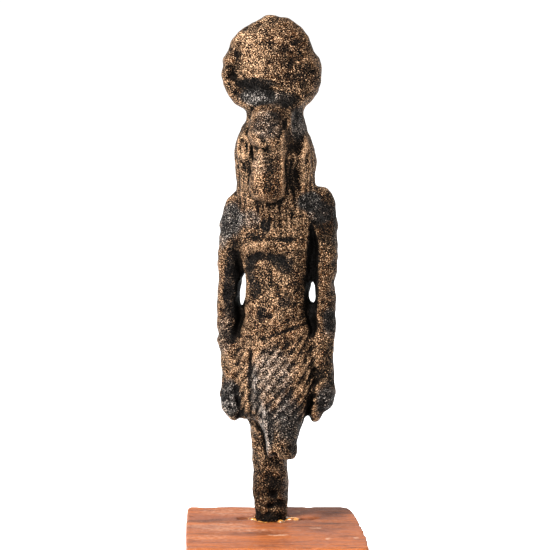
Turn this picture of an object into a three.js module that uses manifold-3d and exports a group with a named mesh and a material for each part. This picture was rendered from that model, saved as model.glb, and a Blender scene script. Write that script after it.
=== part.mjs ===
// A small cast bronze of Thoth, moon disk on its head, set by its standing leg into a wooden block.
// Millimetres, +Z up. The front faces -Y. The origin is the middle of the block's underside.
import * as THREE from 'three';
import { mergeVertices } from 'three/addons/utils/BufferGeometryUtils.js';
import Module from 'manifold-3d';

const wasm = await Module();
wasm.setup();

// The wooden block
const BLOCK_WIDTH = 36.3;
const BLOCK_DEPTH = 33.4;
const BLOCK_HEIGHT = 24;
const BLOCK_EDGE = 0.5;
const BLOCK_LEFT_TAPER = 0.95; // how far the left side leans in towards the front
const BLOCK_RIGHT_TAPER = 3.2; // how far the right side leans in towards the back
const BLOCK_RIGHT_SWELL = 0.15; // how far the right side bows out
const BLOCK_SWELL_AT = 4; // how far behind the middle it bows out most
const BLOCK_BACK_CORNER = 1.6; // radius of the worn corner at the back, on the right

// The figure's place on the block, and its turn towards the viewer's left
const FIGURE_X = 0.05;
const FIGURE_Y = 6.5;
const FIGURE_TURN = -10;
const SOCKET_DEPTH = 5.5;
const SOCKET_GAP = 0.3;

// Body profiles. Each row is a height above the block, the middle (to the viewer's right, then
// towards the front), and half the width and half the depth there.
const WIG = [
  [57.8, 0, 0.3, 6.6, 4.3],
  [60.5, 0, 0.3, 7.2, 4.6],
  [64, 0, 0.3, 7.6, 5],
  [67.5, 0, 0.3, 7.85, 5.5],
  [71, 0, 0.2, 7.95, 5.8],
  [74, -0.15, 0.1, 7.9, 5.9],
  [76.5, -0.3, 0, 7.5, 5.7],
  [79, -0.35, 0, 6.45, 5.1],
  [81.5, -0.35, -0.1, 5.7, 4.5],
  [85.5, -0.4, -0.2, 5.6, 3.6],
];
const TORSO = [
  [32, 0, 0.2, 7, 4.3],
  [36, 0, 0.2, 7.2, 4.3],
  [39.5, 0, 0.2, 6.6, 4.1],
  [43, 0, 0.2, 6.15, 3.85],
  [46.5, 0, 0.2, 6.15, 3.7],
  [50.5, 0, 0.1, 6.6, 3.8],
  [54.5, -0.1, 0, 7.5, 4.1],
  [58.5, -0.2, 0, 8.3, 4.4],
  [62, 0, -0.2, 8.6, 4.1],
  [64.5, 0, -0.4, 7.6, 3.5],
];
const KILT = [
  [21.3, -0.5, 0.6, 6, 4.6],
  [25, -0.1, 0.8, 7.2, 5],
  [29, 0.1, 0.8, 7.75, 5.1],
  [33, 0.1, 0.6, 7.9, 4.9],
  [36, 0.1, 0.4, 7.7, 4.6],
  [38.5, 0.1, 0.3, 7.2, 4.3],
  [41, 0.1, 0.2, 6.4, 3.9],
];
const ARM_AT_VIEWERS_LEFT = [
  [22.5, -8.6, 0.3, 1.9, 2.3],
  [29, -9.1, 0.3, 1.8, 2.2],
  [33, -9.3, 0.1, 1.95, 2.2],
  [38, -9.6, -0.2, 2.2, 2.4],
  [43, -9.5, -0.4, 2.3, 2.5],
  [48, -9.3, -0.6, 2.2, 2.5],
  [54, -9.3, -0.6, 2.25, 2.7],
  [58, -8.7, -0.5, 2.5, 2.9],
  [61, -8, -0.5, 2.7, 2.9],
  [64, -7.2, -0.5, 2.5, 2.5],
];
const ARM_AT_VIEWERS_RIGHT = [
  [22.5, 9.3, 0.3, 1.9, 2.3],
  [29, 9.7, 0.3, 1.9, 2.2],
  [33, 9.7, 0.1, 1.9, 2.2],
  [38, 9.9, -0.2, 2.1, 2.4],
  [43, 9.9, -0.4, 2.1, 2.5],
  [48, 9.6, -0.6, 2.05, 2.5],
  [54, 10, -0.6, 2.2, 2.7],
  [58, 9.8, -0.5, 2.45, 3],
  [61.5, 9.3, -0.5, 2.6, 3],
  [65.5, 8.5, -0.5, 2.5, 2.6],
];
const ARM_WEB = [
  [22.8, 0.1, -0.8, 8.8, 1.6],
  [33, 0.1, -0.9, 9, 1.6],
  [42, 0.1, -1.2, 9.3, 1.4],
  [60.5, 0.1, -1.2, 9.3, 1.4],
];
const STANDING_LEG = [
  [-5.2, -1.4, -1.6, 2.7, 2.9],
  [0, -1.4, -1.6, 3.05, 3.2],
  [4, -1.4, -1.7, 3.4, 3.6],
  [8, -1.4, -1.8, 3.5, 3.9],
  [12, -1.5, -1.7, 3.35, 3.9],
  [17, -1.6, -1.4, 3.6, 3.9],
  [23, -1.9, -1, 4.2, 4.1],
  [27, -2.1, -0.8, 4.6, 4.2],
];
const BROKEN_LEG = [
  [13.4, 2.1, 4.6, 2.6, 2.6],
  [15.5, 2.05, 4.6, 2.9, 2.9],
  [18.5, 2, 4.3, 3.5, 3.3],
  [21.5, 2, 3.7, 4.3, 3.8],
  [25, 1.9, 2.9, 5.2, 4.2],
  [29, 1.6, 2, 5.6, 4.4],
  [34, 1.2, 1, 5.4, 4.2],
];
const BILL = [
  [65.2, -0.3, 7, 2.9, 2.1],
  [67, -0.3, 7.2, 3.55, 2.7],
  [69.2, -0.4, 7.2, 3.65, 2.8],
  [71.8, -0.35, 6.9, 3.2, 2.6],
  [74.3, -0.3, 6.5, 3.2, 2.5],
  [78, -0.3, 5.2, 3, 2.3],
];
const BILL_SUPPORT = [
  [65.8, -0.3, 4.6, 1.7, 2.4],
  [70, -0.3, 4.8, 2.1, 2.6],
  [78, -0.3, 4.6, 2.6, 2.8],
];
const THUMB_AT_VIEWERS_RIGHT = [
  [21.9, 7.7, 3.1, 0.8, 0.8],
  [25, 8.6, 3.3, 0.9, 0.9],
  [30, 9.9, 2.2, 0.9, 0.9],
];
const THUMB_AT_VIEWERS_LEFT = [
  [22.2, -7.5, 2.7, 0.8, 0.8],
  [25.5, -8.2, 3.1, 0.9, 0.9],
  [30, -8.9, 2.1, 0.9, 0.9],
];

// Rounded masses: centre, then radii
const DISK = { centre: [-0.75, 0, 92.15], radii: [8.7, 4.4, 8.95] };
const CRANIUM = { centre: [-0.5, 4.6, 79.3], radii: [4, 4.3, 4.6] };
const BROW_KNOB = { centre: [-1.2, 7.7, 77], radii: [1.7, 1.5, 1.8] };
const SHOULDERS = [
  { centre: [-7, -0.5, 60.5], radii: [4.2, 3.3, 5] },
  { centre: [8.4, -0.5, 62.4], radii: [3.3, 3.3, 5] },
];
const FISTS = [
  { centre: [-9.1, 0.9, 25.6], radii: [2.1, 2.9, 3.9] },
  { centre: [-8.3, 1.1, 22.9], radii: [1.4, 2.5, 2.6] },
  { centre: [9.9, 0.9, 26.2], radii: [2.1, 2.9, 3.7] },
  { centre: [8.4, 1.3, 23.1], radii: [2, 2.5, 2.7] },
];
const ARM_GAPS = [
  { centre: [-6.75, 0, 46.6], radii: [0.95, 12, 3.9], lean: -9 },
  { centre: [7.15, 0, 46.4], radii: [0.6, 12, 2.4], lean: 0 },
];
const STUMP_NOTCH = { centre: [0.9, 6.2, 13.2], radii: [1.2, 3.4, 2.3] };

// The crescent under the disk: an arc of round section, thick below and drawn out into two horns
const CRESCENT_MIDDLE = [-0.75, 0, 90.2];
const CRESCENT_RADIUS = [8.1, 6.4];
const CRESCENT_SPAN = 125;
const CRESCENT_THICK = 2.5;
const CRESCENT_DEEP = 3.6;
const HORN_SHARE = 0.45;

// Carving
const STRANDS = 18;
const STRAND_DEPTH = 0.26;
const PLEATS = 18;
const THIGH_PLEATS = 8;
const PLEAT_DEPTH = 0.3;
const PLEAT_LEAN = 0.14; // turn of a pleat round the body for each millimetre it climbs
const CROWD = 0.35;
const BELT_LOW = 36.6;
const BELT_SLOPE = 0.36;
const BELT_BEND = 1.6;
const BELT_HALF_WIDTH = 0.9;
const BELT_RAISE = 0.3;
const CHIP_REACH = 8.3;
const CHIP_DIRECTION = [-0.55, 0.835];
const EYE_RADIUS = 1.15;
const EYE_RIM = 0.42;
const EYES = [
  { centre: [-5.4, 4.75, 75], turn: -30 },
  { centre: [5, 4.75, 75.2], turn: 30 },
];

const clamp = (value) => Math.min(Math.max(value, 0), 1);

function step(value, start, end) {
  const share = clamp((value - start) / (end - start));
  return share * share * (3 - 2 * share);
}

function bump(value, centre, width) {
  const share = clamp(1 - Math.abs(value - centre) / width);
  return share * share * (3 - 2 * share);
}

// The smooth curve through one column of a profile
function profileAt(stations, column, height) {
  const last = stations.length - 1;
  const slope = (i) => {
    const before = stations[Math.max(i - 1, 0)];
    const after = stations[Math.min(i + 1, last)];
    return (after[column] - before[column]) / (after[0] - before[0]);
  };
  let i = stations.findIndex((row) => row[0] > height) - 1;
  if (i < 0) i = height <= stations[0][0] ? 0 : last - 1;
  const span = stations[i + 1][0] - stations[i][0];
  const t = clamp((height - stations[i][0]) / span);
  const rise = t * t * (3 - 2 * t);
  const leave = t * (1 - t) * (1 - t) * span * slope(i);
  const arrive = t * t * (1 - t) * span * slope(i + 1);
  return stations[i][column] * (1 - rise) + stations[i + 1][column] * rise + leave - arrive;
}

// A closed skin over rings of points, from the first ring to the last
function skin(rings) {
  const sides = rings[0].length;
  const positions = [];
  const index = [];
  for (const ring of rings) {
    for (const point of ring) positions.push(...point);
  }
  for (let r = 0; r + 1 < rings.length; r += 1) {
    for (let i = 0; i < sides; i += 1) {
      const a = r * sides + i;
      const b = r * sides + ((i + 1) % sides);
      index.push(a, b, b + sides, a, b + sides, a + sides);
    }
  }
  for (const [ring, start, turn] of [[rings[0], 0, 1], [rings.at(-1), (rings.length - 1) * sides, -1]]) {
    const middle = [0, 1, 2].map((axis) => ring.reduce((sum, point) => sum + point[axis], 0) / sides);
    const tip = positions.length / 3;
    positions.push(...middle);
    for (let i = 0; i < sides; i += 1) {
      const a = start + i;
      const b = start + ((i + 1) % sides);
      if (turn > 0) index.push(tip, b, a);
      else index.push(tip, a, b);
    }
  }
  const geometry = new THREE.BufferGeometry();
  geometry.setAttribute('position', new THREE.Float32BufferAttribute(positions, 3));
  geometry.setIndex(index);
  return geometry;
}

// A body through the stations of a profile, with rounded ends. The carving moves each point out or in.
// Lean winds its columns round it, and crowd draws them together at the front.
function loft(stations, {
  power = 2.3, rings = 10, sides = 16, round = 0.6, roundSteps = 1, lean = 0, crowd = 0, carve = null,
}) {
  const low = stations[0][0];
  const high = stations.at(-1)[0];
  const levels = [];
  for (let k = roundSteps; k > 0; k -= 1) {
    const angle = (k / roundSteps) * (Math.PI / 3);
    levels.push([low + round * (1 - Math.sin(angle)), round * (1 - Math.cos(angle))]);
  }
  for (let r = 0; r <= rings; r += 1) {
    levels.push([low + round + ((high - low - 2 * round) * r) / rings, 0]);
  }
  for (let k = 1; k <= roundSteps; k += 1) {
    const angle = (k / roundSteps) * (Math.PI / 3);
    levels.push([high - round * (1 - Math.sin(angle)), round * (1 - Math.cos(angle))]);
  }
  return skin(levels.map(([height, inset]) => {
    const [middleSide, middleFront, halfWidth, halfDepth] = [1, 2, 3, 4].map(
      (column) => profileAt(stations, column, height),
    );
    const ring = [];
    for (let i = 0; i < sides; i += 1) {
      const column = (i / sides) * 2 * Math.PI;
      const turn = column + lean * (height - low);
      const angle = turn - crowd * Math.sin(turn);
      const across = Math.sin(angle);
      const ahead = Math.cos(angle);
      const reach = (Math.abs(across) ** power + Math.abs(ahead) ** power) ** (-1 / power);
      const side = middleSide + (halfWidth - inset) * reach * across;
      const front = middleFront + (halfDepth - inset) * reach * ahead;
      const out = carve ? carve(side, front, height, column) : 0;
      ring.push([side + out * across, -(front + out * ahead), height]);
    }
    return ring;
  }));
}

function ellipsoid({ centre, radii, lean = 0 }, sides = 16, rings = 10) {
  const geometry = new THREE.SphereGeometry(1, sides, rings);
  geometry.rotateX(Math.PI / 2);
  geometry.scale(...radii);
  geometry.rotateY(THREE.MathUtils.degToRad(lean));
  geometry.translate(centre[0], -centre[1], centre[2]);
  return geometry;
}

function toSolid(geometry) {
  const bare = geometry.clone();
  bare.deleteAttribute('normal');
  bare.deleteAttribute('uv');
  const merged = mergeVertices(bare, 1e-4);
  return new wasm.Manifold(new wasm.Mesh({
    numProp: 3,
    vertProperties: Float32Array.from(merged.attributes.position.array),
    triVerts: Uint32Array.from(merged.index.array),
  }));
}

function toGeometry(solid) {
  const mesh = solid.getMesh();
  const geometry = new THREE.BufferGeometry();
  geometry.setAttribute('position', new THREE.BufferAttribute(mesh.vertProperties.slice(), 3));
  geometry.setIndex(Array.from(mesh.triVerts));
  geometry.computeVertexNormals();
  return geometry;
}

const joined = (geometries) => geometries.map(toSolid).reduce((whole, next) => whole.add(next));

// The full moon, its upper edge worn flat at one place
function disk() {
  const geometry = ellipsoid(DISK, 22, 10);
  const points = geometry.attributes.position;
  for (let i = 0; i < points.count; i += 1) {
    const side = points.getX(i) - DISK.centre[0];
    const up = points.getZ(i) - DISK.centre[2];
    const over = side * CHIP_DIRECTION[0] + up * CHIP_DIRECTION[1] - CHIP_REACH;
    if (over > 0) {
      points.setX(i, points.getX(i) - over * CHIP_DIRECTION[0]);
      points.setZ(i, points.getZ(i) - over * CHIP_DIRECTION[1]);
    }
  }
  return geometry;
}

function crescent() {
  const arcSteps = 16;
  const sides = 8;
  const rings = [];
  for (let k = 0; k <= arcSteps; k += 1) {
    const share = (2 * k) / arcSteps - 1;
    const arc = THREE.MathUtils.degToRad(CRESCENT_SPAN * share);
    const swell = HORN_SHARE + (1 - HORN_SHARE) * Math.cos((share * Math.PI) / 2);
    const ring = [];
    for (let i = 0; i < sides; i += 1) {
      const angle = (i / sides) * 2 * Math.PI;
      const thick = CRESCENT_THICK * swell * Math.cos(angle);
      const deep = CRESCENT_DEEP * (0.35 + 0.65 * swell) * Math.sin(angle);
      ring.push([
        CRESCENT_MIDDLE[0] + (CRESCENT_RADIUS[0] + thick) * Math.sin(arc),
        -(CRESCENT_MIDDLE[1] - deep),
        CRESCENT_MIDDLE[2] - (CRESCENT_RADIUS[1] + thick) * Math.cos(arc),
      ]);
    }
    rings.push(ring);
  }
  return skin(rings);
}

// Strands all round the wig, hollows beside the bill, and a parting between the lappets
function wigCarving(side, front, height, column) {
  const strands = STRAND_DEPTH * (Math.cos(STRANDS * column) - 1) * step(height, 84, 79);
  if (front < 0) return strands;
  const hollowRight = -1.3 * bump(side, 4.4, 1.9) * step(height, 64.5, 67) * step(height, 77, 73.5);
  const hollowLeft = -0.7 * bump(side, -4.6, 1.7) * step(height, 69, 71) * step(height, 74.5, 72.5);
  const parting = -1.2 * bump(side, -0.4, 1.7) * step(height, 66, 63);
  return strands + hollowRight + hollowLeft + parting;
}

function wig() {
  return loft(WIG, {
    power: 2.4, rings: 9, sides: STRANDS * 3, round: 0.8, crowd: CROWD, carve: wigCarving,
  });
}

function eye({ centre, turn }) {
  const rim = new THREE.TorusGeometry(EYE_RADIUS, EYE_RIM, 5, 12);
  rim.rotateX(Math.PI / 2);
  rim.rotateZ(THREE.MathUtils.degToRad(turn));
  rim.translate(centre[0], -centre[1], centre[2]);
  return rim;
}

// The bill hangs thick and blunt on the chest, waisted below the brow and dished above its tip
function billCarving(side, front, height) {
  const ahead = step(front, 7.5, 9);
  const dish = -0.7 * bump(side, -0.2, 2) * bump(height, 70.6, 1.7) * ahead;
  const edge = 0.3 * bump(Math.abs(side + 0.3), 2.9, 0.8) * step(height, 68, 70) * ahead;
  return dish + edge;
}

function head() {
  return [
    ellipsoid(CRANIUM, 16, 10),
    ellipsoid(BROW_KNOB, 8, 6),
    loft(BILL, { power: 2.4, rings: 6, sides: 18, round: 1.5, roundSteps: 2, carve: billCarving }),
    loft(BILL_SUPPORT, { power: 3, rings: 3, sides: 10 }),
    ...EYES.map(eye),
  ];
}

// Breasts, the line down the middle of the body, the navel and the hollows at the waist
function torsoCarving(side, front, height) {
  if (front < 0) {
    return -0.45 * bump(side, 0, 1.4) * step(height, 38, 44) * step(height, 64, 58);
  }
  const breasts = 0.5 * bump(Math.abs(side), 3.6, 3.4) * bump(height, 55.6, 3.6);
  const median = -0.45 * bump(side, -0.3, 1.1) * step(height, 41.5, 44) * step(height, 60, 56);
  const arch = -0.4 * bump(height, 52.2 - 0.05 * side * side, 1.4) * step(Math.abs(side), 6.5, 5);
  const belly = 0.35 * bump(side, 0, 4.5) * bump(height, 42, 4);
  const navel = -0.5 * bump(side, -0.3, 1.3) * bump(height, 42.6, 1.5);
  return breasts + median + arch + belly + navel;
}

function torso() {
  return [
    loft(TORSO, { power: 2.5, rings: 12, sides: 27, round: 1, crowd: CROWD, carve: torsoCarving }),
    ...SHOULDERS.map((shape) => ellipsoid(shape, 12, 8)),
  ];
}

// The belt is level behind and climbs to the viewer's right in front
const beltHeight = (side, front) => BELT_LOW + (front > 0 ? BELT_SLOPE * Math.max(side + BELT_BEND, 0) : 0);

function belt() {
  const columns = 26;
  const rows = [[-1, -1], [-0.75, 1], [0.75, 1], [1, -1]];
  return skin(rows.map(([along, out]) => {
    const ring = [];
    for (let i = 0; i < columns; i += 1) {
      const angle = (i / columns) * 2 * Math.PI;
      const across = Math.sin(angle);
      const ahead = Math.cos(angle);
      const reach = (Math.abs(across) ** 2.5 + Math.abs(ahead) ** 2.5) ** (-1 / 2.5);
      const lift = BELT_SLOPE * Math.max(7 * across + BELT_BEND, 0) * step(ahead, -0.5, 0.3);
      const height = BELT_LOW + lift + along * BELT_HALF_WIDTH;
      const [side, front, halfWidth, halfDepth] = [1, 2, 3, 4].map((column) => profileAt(KILT, column, height));
      ring.push([
        side + (halfWidth + out * BELT_RAISE) * reach * across,
        -(front + (halfDepth + out * BELT_RAISE) * reach * ahead),
        height,
      ]);
    }
    return ring;
  }));
}

// Slanting pleats below the belt, with one long fold near the hip
function kiltCarving(side, front, height, column) {
  const below = step(beltHeight(side, front) - height, 0.6, 1.8) * step(height, 21, 22.6);
  const pleat = PLEAT_DEPTH * Math.cos(PLEATS * column);
  const fold = front > 0 ? -0.5 * bump(side, -4.3, 0.9) : 0;
  return (pleat + fold) * below;
}

function kilt() {
  return loft(KILT, {
    power: 2.5, rings: 10, sides: PLEATS * 3, round: 0.6, lean: PLEAT_LEAN, crowd: CROWD, carve: kiltCarving,
  });
}

// The advanced leg is broken off below the kilt, its pleats running on over the thigh
const thighCarving = (side, front, height, column) => (
  PLEAT_DEPTH * Math.cos(THIGH_PLEATS * column) * step(height, 21.4, 23)
);

function legs() {
  return [
    loft(STANDING_LEG, { power: 2.3, rings: 7, sides: 14, round: 0.5 }),
    loft(BROKEN_LEG, {
      power: 2.6, rings: 8, sides: THIGH_PLEATS * 3, round: 0.5, lean: PLEAT_LEAN, carve: thighCarving,
    }),
  ];
}

function arms() {
  return [
    loft(ARM_AT_VIEWERS_LEFT, { power: 2.2, rings: 10, sides: 10, round: 1.5 }),
    loft(ARM_AT_VIEWERS_RIGHT, { power: 2.2, rings: 10, sides: 10, round: 1.5 }),
    loft(ARM_WEB, { power: 4, rings: 3, sides: 12, round: 0.4 }),
    ...FISTS.map((shape) => ellipsoid(shape, 8, 6)),
    loft(THUMB_AT_VIEWERS_LEFT, { power: 2, rings: 4, sides: 6, round: 0.5 }),
    loft(THUMB_AT_VIEWERS_RIGHT, { power: 2, rings: 4, sides: 6, round: 0.5 }),
  ];
}

function statuette() {
  const mass = joined([disk(), crescent(), wig(), ...head(), ...torso(), kilt(), belt(), ...legs(), ...arms()]);
  const gaps = ARM_GAPS.map((shape) => ellipsoid(shape, 10, 8));
  const cutters = joined([...gaps, ellipsoid(STUMP_NOTCH, 10, 6)]);
  return toGeometry(mass.subtract(cutters));
}

// The block's outline from above, corner by corner
function blockOutline() {
  const halfWidth = BLOCK_WIDTH / 2;
  const halfDepth = BLOCK_DEPTH / 2;
  const backRight = halfWidth - BLOCK_RIGHT_TAPER;
  const outline = new THREE.Shape();
  outline.moveTo(-halfWidth + BLOCK_LEFT_TAPER, -halfDepth);
  outline.lineTo(halfWidth - BLOCK_BACK_CORNER, -halfDepth);
  outline.quadraticCurveTo(halfWidth, -halfDepth, halfWidth, -halfDepth + BLOCK_BACK_CORNER);
  outline.quadraticCurveTo(
    (halfWidth + backRight) / 2 + BLOCK_RIGHT_SWELL, BLOCK_SWELL_AT,
    backRight, halfDepth - BLOCK_BACK_CORNER,
  );
  outline.quadraticCurveTo(backRight, halfDepth, backRight - BLOCK_BACK_CORNER, halfDepth);
  outline.lineTo(-halfWidth, halfDepth);
  outline.closePath();
  return outline;
}

// The hole that the leg stands in, a little wider and deeper than the leg
function socket() {
  const wider = STANDING_LEG.map(([height, side, front, halfWidth, halfDepth]) => [
    height, side, front, halfWidth + SOCKET_GAP, halfDepth + SOCKET_GAP,
  ]);
  wider[0][0] = -SOCKET_DEPTH;
  const geometry = loft(wider.slice(0, 3), { power: 2.3, rings: 2, sides: 16, round: 0.3 });
  geometry.rotateZ(THREE.MathUtils.degToRad(FIGURE_TURN));
  geometry.translate(FIGURE_X, FIGURE_Y, BLOCK_HEIGHT);
  return geometry;
}

function woodenBlock() {
  const block = new THREE.ExtrudeGeometry(blockOutline(), {
    depth: BLOCK_HEIGHT - 2 * BLOCK_EDGE,
    bevelThickness: BLOCK_EDGE,
    bevelSize: BLOCK_EDGE,
    bevelOffset: -BLOCK_EDGE,
    bevelSegments: 1,
    curveSegments: 6,
  });
  block.translate(0, 0, BLOCK_EDGE);
  return toGeometry(toSolid(block).subtract(toSolid(socket())));
}

const bronze = new THREE.MeshStandardMaterial({ color: 0x5a4636, roughness: 0.55, metalness: 0.7 });
const wood = new THREE.MeshStandardMaterial({ color: 0xb4633a, roughness: 0.75, metalness: 0 });

const figureMesh = new THREE.Mesh(statuette(), bronze);
figureMesh.name = 'statuette';
figureMesh.position.set(FIGURE_X, FIGURE_Y, BLOCK_HEIGHT);
figureMesh.rotation.z = THREE.MathUtils.degToRad(FIGURE_TURN);

const blockMesh = new THREE.Mesh(woodenBlock(), wood);
blockMesh.name = 'wooden_block';

const part = new THREE.Group();
part.add(figureMesh, blockMesh);

export default part;
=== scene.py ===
"""A small worn bronze of Thoth with a moon disk, standing in a wooden block.

The figure and the block are shaped as fields of distances in millimetres and turned into meshes.
The figure has its own coordinates: s to the viewer's right, f towards the front and h up from the
block's top. The finished meshes, the camera and the lights are in metres.
"""

import math

import bpy
import numpy as np
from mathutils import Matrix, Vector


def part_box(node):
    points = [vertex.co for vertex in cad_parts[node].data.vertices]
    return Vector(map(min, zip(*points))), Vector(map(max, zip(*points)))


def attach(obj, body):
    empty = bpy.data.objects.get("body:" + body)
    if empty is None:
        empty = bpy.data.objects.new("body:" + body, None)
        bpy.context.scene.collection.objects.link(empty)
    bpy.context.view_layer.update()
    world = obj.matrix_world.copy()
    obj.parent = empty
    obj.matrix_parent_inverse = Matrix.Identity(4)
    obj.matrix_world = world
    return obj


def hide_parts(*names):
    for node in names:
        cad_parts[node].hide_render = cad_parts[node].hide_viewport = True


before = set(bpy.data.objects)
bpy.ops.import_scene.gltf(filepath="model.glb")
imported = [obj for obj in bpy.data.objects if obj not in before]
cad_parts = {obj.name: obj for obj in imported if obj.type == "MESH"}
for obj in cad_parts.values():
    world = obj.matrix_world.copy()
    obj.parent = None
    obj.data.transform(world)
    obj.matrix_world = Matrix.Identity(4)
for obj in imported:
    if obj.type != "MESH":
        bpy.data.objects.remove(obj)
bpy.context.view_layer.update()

MM = 0.001

# The wooden block
BLOCK_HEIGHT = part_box("wooden_block")[1][2] / MM
BLOCK_EDGE = 0.3
BLOCK_TOP_SPARE = 0.2  # on the top before it is worn
BLOCK_BACK_RISE = 0.2  # how much higher the top is along its back
SOCKET_GAP = 0.35

# The figure's place on the block
FIGURE_X = 0.05
FIGURE_Y = 6.5
FIGURE_TURN = math.radians(10)

# Grids on which the shapes are worked out: lowest corner, highest corner and spacing
FIGURE_GRID = ((-14.0, -9.0, -7.0), (15.0, 13.5, 104.0), 0.3)
BLOCK_GRID = ((-20.5, -19.0, -2.0), (20.5, 19.0, 26.5), 0.36)
GLUE_GRID = ((-7.5, 0.5, 22.0), (7.5, 13.0, 25.6), 0.16)
BOX_MARGIN = 2.5  # room round a body for its join with the others

# The camera, in millimetres and degrees
CAMERA_PLACE = (-0.15, -513.5, 153.65)
CAMERA_DOWN = 8.732
CAMERA_LENS = 173.92
CAMERA_SENSOR = 36
CAMERA_REACH = (0.01, 20)  # in metres

# The studio, in metres and watts: each light's name, place, size and power
LIGHTS = [
    ("key", (-0.42, -0.42, 0.72), 0.22, 28.0),
    ("fill", (0.6, -0.5, 0.25), 0.5, 1.5),
]
LIGHTS_AIM = (0, 0, 0.07)
SURROUNDING_LIGHT = 1.06
FLOOR_REACH = 5.0
FLOOR_COLOUR = (0.96, 0.96, 0.96, 1)

# Body profiles. Each row is a height above the block, the middle (s, then f), and half the width
# and half the depth there.
WIG = [
    (57.8, 0.0, 0.3, 6.6, 4.3),
    (60.5, 0.0, 0.3, 7.2, 4.6),
    (64.0, 0.0, 0.3, 7.6, 5.0),
    (67.5, 0.0, 0.3, 7.85, 5.5),
    (71.0, 0.0, 0.2, 7.95, 5.8),
    (74.0, -0.15, 0.1, 7.9, 5.9),
    (76.5, -0.30, 0.0, 7.5, 5.7),
    (79.0, -0.35, 0.0, 6.45, 5.1),
    (81.5, -0.15, -0.1, 5.45, 4.5),
    (85.5, -0.25, -0.2, 5.4, 3.6),
]
TORSO = [
    (32.0, 0.0, 0.2, 7.0, 4.3),
    (36.0, 0.0, 0.2, 7.2, 4.3),
    (39.5, 0.0, 0.2, 6.6, 4.1),
    (43.0, 0.0, 0.2, 6.15, 3.85),
    (46.5, 0.0, 0.2, 6.15, 3.7),
    (50.5, 0.0, 0.1, 6.6, 3.8),
    (54.5, -0.1, 0.0, 7.5, 4.1),
    (58.5, -0.2, 0.0, 8.3, 4.4),
    (62.0, 0.0, -0.2, 8.6, 4.1),
    (64.5, 0.0, -0.4, 7.6, 3.5),
]
KILT = [
    (21.3, -0.5, 0.6, 6.0, 4.6),
    (25.0, -0.1, 0.8, 7.2, 5.0),
    (29.0, 0.1, 0.8, 7.75, 5.1),
    (33.0, 0.1, 0.6, 7.9, 4.9),
    (36.0, 0.1, 0.4, 7.7, 4.6),
    (38.5, 0.1, 0.3, 7.2, 4.3),
    (41.0, 0.1, 0.2, 6.4, 3.9),
]
ARM_AT_VIEWERS_LEFT = [
    (22.5, -8.6, 0.3, 1.9, 2.3),
    (29.0, -9.0, 0.3, 1.75, 2.2),
    (33.0, -9.3, 0.1, 1.95, 2.2),
    (38.0, -9.7, -0.2, 2.3, 2.4),
    (43.0, -9.65, -0.4, 2.35, 2.5),
    (48.0, -9.5, -0.6, 2.3, 2.5),
    (54.0, -9.45, -0.6, 2.3, 2.7),
    (58.0, -8.7, -0.5, 2.5, 2.9),
    (61.0, -8.0, -0.5, 2.7, 2.9),
    (64.0, -7.2, -0.5, 2.5, 2.5),
]
ARM_AT_VIEWERS_RIGHT = [
    (23.8, 9.3, 0.3, 1.8, 2.3),
    (29.0, 9.8, 0.3, 2.0, 2.2),
    (33.0, 9.7, 0.1, 1.9, 2.2),
    (38.0, 9.75, -0.2, 2.0, 2.4),
    (43.0, 9.85, -0.4, 2.1, 2.5),
    (48.0, 9.6, -0.6, 2.05, 2.5),
    (54.0, 10.0, -0.6, 2.2, 2.7),
    (58.0, 9.8, -0.5, 2.45, 3.0),
    (61.5, 9.3, -0.5, 2.6, 3.0),
    (65.5, 8.5, -0.5, 2.5, 2.6),
]
ARM_WEB = [
    (22.8, 0.1, -0.8, 8.8, 1.6),
    (33.0, 0.1, -0.9, 9.0, 1.6),
    (42.0, 0.1, -1.2, 9.3, 1.4),
    (60.5, 0.1, -1.2, 9.3, 1.4),
]
STANDING_LEG = [
    (-5.2, -1.4, -1.6, 2.7, 2.9),
    (0.0, -1.4, -1.6, 3.05, 3.2),
    (4.0, -1.4, -1.7, 3.4, 3.6),
    (8.0, -1.4, -1.8, 3.5, 3.9),
    (12.0, -1.5, -1.7, 3.35, 3.9),
    (17.0, -1.6, -1.4, 3.6, 3.9),
    (23.0, -1.9, -1.0, 4.2, 4.1),
    (27.0, -2.1, -0.8, 4.6, 4.2),
]
BROKEN_LEG = [
    (13.9, 2.1, 4.6, 2.6, 2.6),
    (15.5, 2.05, 4.6, 2.9, 2.9),
    (18.5, 2.0, 4.3, 3.5, 3.3),
    (21.5, 2.0, 3.7, 4.3, 3.8),
    (25.0, 1.9, 2.9, 5.2, 4.2),
    (29.0, 1.6, 2.0, 5.6, 4.4),
    (34.0, 1.2, 1.0, 5.4, 4.2),
]
BILL = [
    (65.2, -0.35, 7.0, 2.6, 2.1),
    (67.0, -0.35, 7.2, 3.4, 2.7),
    (69.2, -0.4, 7.2, 3.65, 2.8),
    (71.8, -0.35, 6.9, 3.2, 2.5),
    (74.3, -0.3, 6.3, 3.2, 2.4),
    (78.0, -0.3, 4.9, 3.0, 2.3),
]
BILL_SUPPORT = [
    (65.8, -0.3, 4.6, 1.7, 2.4),
    (70.0, -0.3, 4.8, 2.1, 2.6),
    (78.0, -0.3, 4.6, 2.6, 2.8),
]
THUMB_AT_VIEWERS_RIGHT = [
    (21.9, 7.7, 3.1, 0.8, 0.8),
    (25.0, 8.6, 3.3, 0.9, 0.9),
    (30.0, 9.9, 2.2, 0.9, 0.9),
]
THUMB_AT_VIEWERS_LEFT = [
    (22.2, -7.5, 2.7, 0.8, 0.8),
    (25.5, -8.2, 3.1, 0.9, 0.9),
    (30.0, -8.9, 2.1, 0.9, 0.9),
]

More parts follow.
